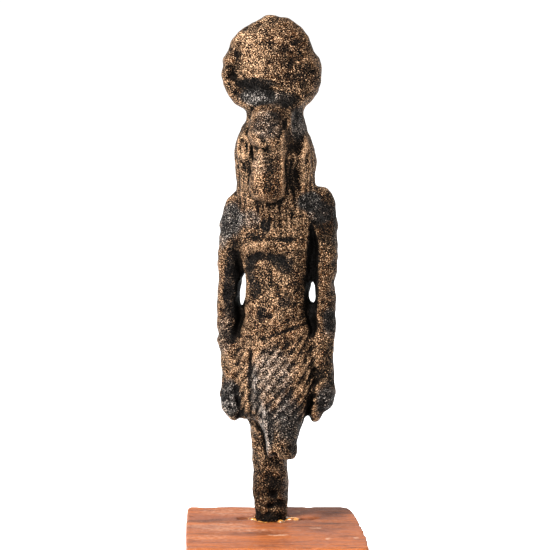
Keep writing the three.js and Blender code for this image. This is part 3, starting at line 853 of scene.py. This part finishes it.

# Above nothing, where the figure is lighter: worn bare, and painted highlight on the disk's left and on
# edges turned to the key light. Under nothing, where it is darker: painted shade on the side away from
# the key light
WEAR_AND_PAINTED_LIGHT_PATCHES = [
    ((4.4, 3.0, 93.0), (4.6, 4.0, 6.6), -0.3),
    ((7.5, 3.0, 88.0), (2.4, 4.0, 4.0), -0.4),
    ((1.6, 7.0, 79.6), (2.2, 4.0, 3.6), -0.7),
    ((1.2, 9.5, 70.0), (1.8, 4.0, 4.6), -0.6),
    ((6.0, 3.5, 49.0), (2.2, 3.0, 9.0), -0.6),
    ((10.6, 1.5, 50.0), (2.4, 4.0, 17.0), -0.7),
    ((10.4, 2.0, 62.0), (2.6, 4.0, 5.0), -0.7),
    ((10.0, 2.0, 28.0), (2.6, 4.0, 8.0), -0.7),
    ((4.6, 6.0, 20.0), (3.0, 4.0, 6.0), -0.6),
    ((-1.4, 2.0, 4.0), (4.0, 4.0, 6.0), -0.6),
    ((-4.5, 3.5, 93.0), (3.8, 5.0, 4.6), 0.35),
    ((-3.1, 4.0, 85.3), (3.2, 4.0, 1.3), 0.5),
    ((-1.6, 9.0, 71.5), (1.2, 4.0, 4.2), 0.6),
    ((-6.3, 5.0, 74.6), (1.2, 3.0, 1.0), 0.8),
    ((-5.4, 6.0, 77.3), (1.0, 3.0, 1.0), 0.5),
    ((6.2, 4.5, 75.4), (0.8, 3.0, 2.2), 0.6),
    ((-0.2, 9.5, 66.8), (3.4, 3.0, 3.0), -0.2),
    ((-1.2, 2.0, 11.0), (4.0, 4.0, 7.0), -0.4),
    ((2.9, 8.0, 73.5), (0.4, 4.0, 7.5), 0.35),
    ((-2.0, 9.0, 76.8), (1.5, 3.0, 1.1), 0.5),
    ((-1.6, 4.0, 55.8), (4.5, 4.0, 1.2), 0.45),
    ((-0.6, 5.0, 32.0), (4.2, 5.0, 4.8), 0.45),
    ((-1.7, 6.5, 23.0), (0.8, 3.0, 3.0), 0.9),
    ((-0.7, 7.0, 17.2), (0.8, 3.0, 2.9), 0.9),
    ((8.3, 3.0, 28.0), (0.7, 2.0, 3.6), 0.7),
    ((8.6, 2.0, 35.4), (0.8, 3.0, 3.6), 0.5),
]


def patch_cover(points, patches):
    """How far each point is covered by a list of soft-edged patches."""
    p = points.T
    bare = np.ones(len(points))
    for centre, radii, strength in patches:
        bare = bare * (1 - strength * step(squared_reach(p, centre, radii), 1.7, 0.3))
    return 1 - bare


# The block from above, going round from its front left corner. Its right side is worn and rounded.
BLOCK_OUTLINE = [
    (-17.3, -16.7),
    (16.6, -16.7),
    (17.7, -16.3),
    (18.15, -15.2),
    (17.95, -9.5),
    (17.35, -1.6),
    (16.95, 2.5),
    (16.6, 6.5),
    (16.1, 11.0),
    (15.6, 13.6),
    (14.8, 15.6),
    (13.2, 16.7),
    (-17.4, 16.7),
    (-18.0, 16.4),
    (-18.15, 15.8),
    (-18.1, 5.0),
    (-17.8, -4.0),
]


def outline_distance(x, y):
    """Signed distance from the block's outline in the plan: under nothing inside."""
    corners = np.array(BLOCK_OUTLINE)
    following = np.roll(corners, -1, axis=0)
    nearest = np.full(x.shape, 1e9)
    crossings = np.zeros(x.shape, int)
    for (ax, ay), (bx, by) in zip(corners, following):
        ex, ey = bx - ax, by - ay
        t = np.clip(((x - ax) * ex + (y - ay) * ey) / (ex * ex + ey * ey), 0, 1)
        nearest = np.minimum(nearest, np.hypot(x - ax - t * ex, y - ay - t * ey))
        if ay != by:
            at = ax + (y - ay) * ex / ey
            crossings += ((ay > y) != (by > y)) & (x < at)
    return np.where(crossings % 2 == 1, -nearest, nearest)


# Chips off the block's upper edges: place and radii
BLOCK_CHIPS = [
    ((-18.3, -15.5, 24.2), (0.6, 1.6, 0.4)),
    ((-18.2, -9.0, 24.3), (0.5, 1.9, 0.4)),
    ((-18.4, -1.0, 24.2), (0.6, 1.3, 0.4)),
    ((-18.5, 7.5, 24.2), (0.7, 2.4, 0.4)),
    ((17.8, -4.5, 24.2), (0.6, 1.2, 0.5)),
    ((17.0, 2.5, 24.2), (0.5, 1.0, 0.4)),
    ((18.4, -12.5, 24.2), (0.6, 1.6, 0.6)),
    ((-9.0, -16.9, 24.2), (2.5, 0.6, 0.5)),
    ((6.0, -16.9, 24.2), (1.8, 0.6, 0.5)),
]

# The crack through the block's top, left and right of the leg
CRACK_ENDS = (-8.2, 9.4)
CRACK_Y = 7.4
CRACK_WIDTH = 1.0
CRACK_DEPTH = 1.8

# Drops of glue beside and before the leg: place and radii
GLUE_DROPS = [
    ((-4.6, 7.2, 23.9), (1.1, 0.8, 0.5)),
    ((3.5, 7.2, 23.9), (1.5, 0.8, 0.5)),
    ((1.2, 4.9, 23.9), (0.7, 0.7, 0.4)),
]
GLUE_UNDER_TOP = 0.25


def leg_in_row(p, grow):
    """Distance to the standing leg, in the row's own coordinates."""
    c, n = math.cos(FIGURE_TURN), math.sin(FIGURE_TURN)
    x, y = p[0] - FIGURE_X, p[1] - FIGURE_Y
    s = x * c - y * n
    f = -x * n - y * c
    return loft(STANDING_LEG[:4], power=2.3, grow=grow)((s, f, p[2] - BLOCK_HEIGHT))


def crack_line(x):
    return CRACK_Y + 0.3 * np.sin(x * 0.9) + 0.15 * np.sin(x * 2.3 + 1)


def crack_opening(x):
    """How far the crack is open, from nothing at its ends to one beside the leg."""
    return step(x, CRACK_ENDS[0], CRACK_ENDS[0] + 1.5) * step(x, CRACK_ENDS[1], CRACK_ENDS[1] - 3)


def block_field():
    """The block with its chips, its socket and its crack."""
    field = Field(*BLOCK_GRID)

    def block(p):
        x, y, z = p
        plan = outline_distance(x[:, :, 0], y[:, :, 0])[:, :, None]
        top = BLOCK_HEIGHT + BLOCK_TOP_SPARE + BLOCK_BACK_RISE * step(y, 8.0, 14.0)
        return smooth_max(plan, np.maximum(z - top, -z), BLOCK_EDGE)

    everywhere = [(-21, 21), (-20, 20), (-3, 27)]
    field.distance[:] = block(field.inside(everywhere)[1])
    for chip in BLOCK_CHIPS:
        field.cut(ellipsoid(*chip), round_box(*chip, 1.2), 0.4)
    field.cut(lambda p: leg_in_row(p, SOCKET_GAP), [(-7, 7), (0, 14), (17, 26)], 0.3)

    def crack(p):
        x, y, z = p
        depth = CRACK_DEPTH * crack_opening(x) * step(z, 21.6, 23.4)
        return -depth * bump(y, crack_line(x), CRACK_WIDTH)

    field.raise_by(crack, [(-9, 10), (5, 10), (21, 26)])
    above_floor = step(field.axes[2], 0.3, 1.2)[None, None, :]
    field.distance += (BLOCK_WORN_OFF + field.lumps(BLOCK_WEAR)) * above_floor
    return field


def glue_field():
    """Amber glue squeezed up round the leg, thickest at its left and right."""
    field = Field(*GLUE_GRID)

    def ring(p):
        around = leg_in_row(p, 0.15)
        lift = np.abs(p[2] - (BLOCK_HEIGHT - GLUE_UNDER_TOP)) - 0.2
        return smooth_max(np.abs(around - 0.2) - 0.4, lift, 0.3)

    everywhere = [(-9, 9), (0, 14), (21, 26)]
    field.add(ring, everywhere, 0.3)
    for drop in GLUE_DROPS:
        field.add(ellipsoid(*drop), everywhere, 0.4)
    field.distance += field.lumps(GLUE_WEAR)
    field.cut(lambda p: leg_in_row(p, 0.02), everywhere, 0.1)
    return field


# Darker stain on the block, and a painted contact shadow just before the leg: centre, radii and
# strength
STAIN_AND_SHADOW_PATCHES = [
    ((-11.5, 5.0, 24.0), (6.5, 1.5, 2.0), 0.75),
    ((9.0, 3.0, 24.0), (7.0, 5.5, 2.0), 0.62),
    ((-8.0, -5.2, 24.0), (9.5, 1.1, 2.0), 0.6),
    ((7.0, -7.5, 24.0), (9.0, 0.9, 2.0), 0.35),
    ((0.0, 16.6, 24.0), (17.0, 0.9, 1.2), 0.5),
    # Painted contact shadow before the leg
    ((-0.7, 4.4, 24.0), (3.6, 0.9, 1.0), 0.9),
    ((-6.0, 7.7, 23.8), (2.6, 0.8, 1.4), 1.0),
    ((5.8, 7.4, 23.8), (4.2, 0.8, 1.4), 0.9),
]

# Where the block is scuffed pale, and painted sheen across the left and back left of its top
SCUFF_AND_SHEEN_PATCHES = [
    # The next three: painted sheen on the left of the top
    ((-11.5, 1.2, 24.0), (7.0, 2.6, 2.0), 0.4),
    ((-7.0, -2.0, 24.0), (8.0, 1.6, 2.0), 0.4),
    ((-13.0, -8.0, 24.0), (5.0, 2.0, 2.0), 0.3),
    ((0.2, -6.1, 24.0), (1.7, 0.5, 1.0), 0.8),
    ((1.6, -5.6, 24.0), (1.0, 0.4, 1.0), 0.7),
    ((8.0, -0.3, 24.0), (1.2, 0.5, 1.0), 0.8),
    ((10.1, -8.9, 24.0), (0.5, 0.6, 1.0), 1.0),
    ((15.7, -8.2, 24.0), (0.5, 0.6, 1.0), 1.0),
    ((4.6, 12.6, 24.0), (0.6, 0.6, 1.0), 0.9),
    # Painted sheen at the back left of the top
    ((-8.0, 12.0, 24.0), (7.5, 2.6, 2.0), 0.35),
    ((-18.1, 2.0, 24.0), (0.5, 15.0, 0.5), 0.5),
]


class Shader:
    """A material's nodes, written as calls."""

    def __init__(self, name):
        self.material = bpy.data.materials.new(name)
        self.material.use_nodes = True
        self.tree = self.material.node_tree
        self.skin = self.tree.nodes["Principled BSDF"]

    def connect(self, socket, value):
        if isinstance(value, bpy.types.NodeSocket):
            self.tree.links.new(value, socket)
        else:
            socket.default_value = value

    def node(self, kind, inputs=None, output=0, **settings):
        node = self.tree.nodes.new(kind)
        for key, value in settings.items():
            setattr(node, key, value)
        for key, value in (inputs or {}).items():
            self.connect(node.inputs[key], value)
        return node.outputs[output]

    def place(self, scale=(1, 1, 1), turn=(0, 0, 0)):
        where = self.node("ShaderNodeTexCoord", output="Object")
        return self.node("ShaderNodeMapping", {"Vector": where, "Scale": scale, "Rotation": turn})

    def noise(self, where, scale, detail, roughness, distortion=0.0):
        return self.node("ShaderNodeTexNoise", {
            "Vector": where, "Scale": scale, "Detail": detail, "Roughness": roughness,
            "Distortion": distortion,
        })

    def value(self, name):
        return self.node("ShaderNodeAttribute", output="Fac", attribute_name=name)

    def sum(self, a, b, share=1.0):
        """One value and a share of another."""
        return self.node("ShaderNodeMath", {0: b, 1: share, 2: a}, operation="MULTIPLY_ADD")

    def times(self, a, b):
        return self.node("ShaderNodeMath", {0: a, 1: b}, operation="MULTIPLY")

    def spread(self, value, low, high, to_low=0.0, to_high=1.0):
        """A value stretched softly from one range to another."""
        return self.node("ShaderNodeMapRange", {
            "Value": value, "From Min": low, "From Max": high, "To Min": to_low, "To Max": to_high,
        }, interpolation_type="SMOOTHSTEP")

    def mix(self, share, a, b):
        """Colour a, or b where the share is one. The colours go into inputs 6 and 7."""
        node = self.tree.nodes.new("ShaderNodeMix")
        node.data_type = "RGBA"
        self.connect(node.inputs[0], share)
        self.connect(node.inputs[6], a)
        self.connect(node.inputs[7], b)
        return node.outputs[2]

    def bump(self, height, distance, strength=1.0):
        return self.node("ShaderNodeBump", {
            "Height": height, "Distance": distance, "Strength": strength,
        })

    def finish(self, **inputs):
        for key, value in inputs.items():
            self.connect(self.skin.inputs[key.replace("_", " ")], value)
        return self.material


# The bronze: its colours, among them those of its painted glints, and how fine its patterns are, in
# repeats to the metre
CHARCOAL = (0.0066, 0.0063, 0.0062, 1)
BLACK = (0.0008, 0.0007, 0.0006, 1)
GREY = (0.013, 0.0122, 0.0115, 1)
# Painted glint colour in grey patina
PAINTED_GLINT_GREY = (0.32, 0.28, 0.25, 1)
BROWN = (0.008, 0.0062, 0.005, 1)
COPPER = (0.056, 0.021, 0.006, 1)
OLIVE = (0.03, 0.0185, 0.0095, 1)
# The next two are painted glints: pale in the bare grain, dull in the patina
PAINTED_GLINT_COPPER = (0.48, 0.29, 0.165, 1)
DULL_COPPER = (0.07, 0.045, 0.03, 1)
DARK_EDGE = (0.3, 0.25, 0.2, 1)
BROAD = 170
MIDDLING = 850
TINTS = 2600
GRAIN = 4700
GLINTS = 5400
GRAIN_HEIGHT = 0.0003


def bronze_material():
    """Black and grey patina, broken by a grain of bare copper where the figure stands out, with painted
    glints, painted highlight on its lit side, and painted shade in hollows, in crevices and on its side
    away from the key light.
    """
    look = Shader("worn bronze")
    where = look.place()
    broad = look.noise(where, BROAD, 3, 0.55)
    middling = look.noise(where, MIDDLING, 3, 0.6)
    grain = look.noise(where, GRAIN, 1, 0.8)
    glints = look.noise(look.place(turn=(0.4, 0.7, 0.2)), GLINTS, 0, 0.5)
    black = look.spread(look.sum(look.value("black"), middling, 0.6), 0.45, 1.3)
    grey = look.spread(look.sum(look.value("grey"), middling, 0.6), 0.45, 1.3)
    stands_out = look.value("stands_out")
    openness = look.value("openness")
    wear_and_painted_light = look.value("wear_and_painted_light")
    cover = look.sum(look.times(black, 0.14), broad, 0.2)
    # Painted light and shade: less cover where worn or painted lit, more where painted in shade
    cover = look.sum(cover, wear_and_painted_light, -0.06)
    # Bare copper where the surface stands out and is worn; thicker patina cover in hollows and
    # crevices, which is also painted shade there
    cover = look.sum(cover, stands_out, -0.28)
    cover = look.sum(cover, openness, -0.3)
    cover = look.sum(cover, middling, 0.08)
    bare = look.spread(look.sum(grain, cover, -1.0), 0.625, 0.77)
    # Painted glints: specks that stand in for highlights, more where worn or painted lit, fewer in
    # black and grey patina
    sparkle = look.sum(glints, wear_and_painted_light, 0.08)
    sparkle = look.sum(sparkle, black, -0.06)
    sparkle = look.sum(sparkle, look.value("grey"), -0.03)
    painted_glints = look.spread(sparkle, 0.55, 0.63)
    tint = look.noise(look.place(turn=(0.9, 0.1, 0.5)), TINTS, 2, 0.8)
    copper = look.mix(look.spread(look.sum(tint, broad, 0.6), 0.68, 0.92), OLIVE, COPPER)
    copper = look.mix(grey, copper, GREY)
    copper = look.mix(painted_glints, copper, look.mix(grey, PAINTED_GLINT_COPPER, PAINTED_GLINT_GREY))
    gaps = look.spread(grain, 0.42, 0.58)
    dark = look.mix(gaps, BLACK, look.mix(grey, BROWN, GREY))
    colour = look.mix(bare, dark, copper)
    patina = look.mix(bare, CHARCOAL, look.mix(painted_glints, GREY, DULL_COPPER))
    patina = look.mix(gaps, BLACK, patina)
    colour = look.mix(look.times(black, 0.85), colour, patina)
    # Painted shade: the deepest crevices turn black
    colour = look.mix(look.spread(openness, 0.25, 0.85, 0.85, 0.0), colour, BLACK)
    height = look.sum(look.times(grain, 0.8), middling, 0.9)
    height = look.sum(height, glints, 0.35)
    metal = look.times(bare, look.spread(black, 0, 1, 0.5, 0.1))
    return look.finish(
        Base_Color=colour,
        Metallic=metal,
        Roughness=look.spread(bare, 0, 1, 0.6, 0.36),
        Specular_Tint=DARK_EDGE,
        Specular_IOR_Level=look.spread(bare, 0, 1, 0.02, 0.4),
        Normal=look.bump(height, GRAIN_HEIGHT, 0.9),
    )


# The wood: its colours, and how fine its patterns are, in repeats to the metre
RED_BROWN = (0.14, 0.044, 0.021, 1)
ORANGE = (0.24, 0.066, 0.016, 1)
DARK_WOOD = (0.035, 0.01, 0.004, 1)
PALE_SCUFF_AND_SHEEN = (0.3, 0.17, 0.11, 1)
FIBRES = 1300
RINGS = 330
SPECKS = 3600
FIBRE_HEIGHT = 0.0002


def wood_material():
    """Red-brown stain over fibres that run from side to side, scuffed pale in places, with painted
    sheen on the left of its top and a painted contact shadow before the leg.
    """
    look = Shader("stained wood")
    fibre = look.noise(look.place(scale=(0.1, 0.7, 1)), FIBRES, 5, 0.8)
    rings = look.noise(look.place(scale=(0.05, 1, 0.5)), RINGS, 4, 0.6, 0.6)
    specks = look.noise(look.place(scale=(0.3, 0.7, 1)), SPECKS, 3, 0.8)
    stain = look.value("stained")
    scuff_and_sheen = look.value("scuffed")
    vivid = look.value("vivid")
    tone = look.sum(look.times(fibre, 0.6), rings, 0.4)
    colour = look.mix(look.spread(look.sum(tone, vivid, 0.05), 0.42, 0.62), RED_BROWN, ORANGE)
    colour = look.mix(look.spread(fibre, 0.44, 0.32, 0, 0.8), colour, DARK_WOOD)
    colour = look.mix(look.spread(specks, 0.46, 0.34, 0, 0.4), colour, DARK_WOOD)
    # Stain and painted shadow: darker where the fibres are dark
    stain_and_shadow_share = look.times(stain, look.spread(fibre, 0.3, 0.6, 0.95, 0.5))
    colour = look.mix(stain_and_shadow_share, colour, DARK_WOOD)
    # Scuffs, and painted sheen, turn the wood pale
    worn = look.spread(look.sum(specks, scuff_and_sheen, 0.34), 0.52, 0.92)
    colour = look.mix(worn, colour, PALE_SCUFF_AND_SHEEN)
    height = look.sum(fibre, specks, 0.5)
    return look.finish(
        Base_Color=colour,
        Roughness=look.spread(scuff_and_sheen, 0, 1, 0.42, 0.55),
        Specular_IOR_Level=0.07,
        Normal=look.bump(height, FIBRE_HEIGHT, 0.8),
    )


# The glue
DARK_AMBER = (0.07, 0.02, 0.004, 1)
AMBER = (0.34, 0.15, 0.035, 1)
CLOUDS = 900
CLOUD_HEIGHT = 0.0002


def glue_material():
    look = Shader("amber glue")
    cloud = look.noise(look.place(), CLOUDS, 3, 0.6)
    return look.finish(
        Base_Color=look.mix(look.spread(cloud, 0.4, 0.6), DARK_AMBER, AMBER),
        Roughness=0.25,
        Subsurface_Weight=0.2,
        Subsurface_Scale=0.001,
        Normal=look.bump(cloud, CLOUD_HEIGHT, 0.4),
    )


def statuette():
    field = figure_field()
    obj, points, place = mesh_object("bronze_statuette", field, figure_to_row)
    add_values(obj, "black", patch_cover(points, BLACK_PATINA_AND_SHADE_PATCHES))
    add_values(obj, "grey", patch_cover(points, GREY_PATCHES))
    add_values(obj, "wear_and_painted_light", patch_cover(points, WEAR_AND_PAINTED_LIGHT_PATCHES))
    stands_out = field.sample(field.bend(), place) / STANDS_OUT_FULLY
    add_values(obj, "stands_out", np.clip(stands_out, -1, 1))
    add_values(obj, "openness", field.openness(place))
    obj.data.materials.append(bronze_material())
    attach(obj, "root")
    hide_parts("statuette")


def wooden_block():
    obj, points, _ = mesh_object("wood_block", block_field())
    x, y, z = points.T
    in_crack = bump(y, crack_line(x), 1.3) * crack_opening(x) * step(z, 22.0, 22.6)
    add_values(obj, "stained", np.maximum(patch_cover(points, STAIN_AND_SHADOW_PATCHES), 2.2 * in_crack))
    add_values(obj, "scuffed", patch_cover(points, SCUFF_AND_SHEEN_PATCHES))
    add_values(obj, "vivid", np.maximum(step(z, 23.8, 23.0), 0.7 * step(y, -13.0, -16.5)))
    obj.data.materials.append(wood_material())
    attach(obj, "root")
    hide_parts("wooden_block")


def glue():
    obj, _, _ = mesh_object("glue_residue", glue_field())
    obj.data.materials.append(glue_material())
    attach(obj, "root")


def floor():
    mesh = bpy.data.meshes.new("floor")
    signs = [(-1, -1), (1, -1), (1, 1), (-1, 1)]
    mesh.from_pydata([(i * FLOOR_REACH, j * FLOOR_REACH, 0) for i, j in signs], [], [(0, 1, 2, 3)])
    obj = new_object("floor", mesh)
    look = Shader("pale floor")
    mesh.materials.append(look.finish(Base_Color=FLOOR_COLOUR, Roughness=1.0))


def camera():
    data = bpy.data.cameras.new("camera")
    data.sensor_width = CAMERA_SENSOR
    data.lens = CAMERA_LENS
    data.clip_start, data.clip_end = CAMERA_REACH
    obj = new_object("camera", data)
    obj.location = [c * MM for c in CAMERA_PLACE]
    obj.rotation_euler = (math.radians(90 - CAMERA_DOWN), 0, 0)
    bpy.context.scene.camera = obj


def area_light(name, place, size, power):
    """A round white lamp that points at the figure."""
    data = bpy.data.lights.new(name, "AREA")
    data.shape = "DISK"
    data.size = size
    data.energy = power
    obj = new_object(name, data)
    obj.location = place
    aim = np.array(LIGHTS_AIM) - np.array(place)
    flat = math.hypot(aim[0], aim[1])
    obj.rotation_euler = (math.atan2(flat, -aim[2]), 0, math.atan2(-aim[0], aim[1]))


def lights():
    for light in LIGHTS:
        area_light(*light)
    world = bpy.data.worlds.new("studio")
    world.use_nodes = True
    background = world.node_tree.nodes["Background"]
    background.inputs["Color"].default_value = (1, 1, 1, 1)
    background.inputs["Strength"].default_value = SURROUNDING_LIGHT
    bpy.context.scene.world = world
    bpy.context.scene.view_settings.view_transform = "Standard"


camera()
statuette()
wooden_block()
glue()
floor()
lights()
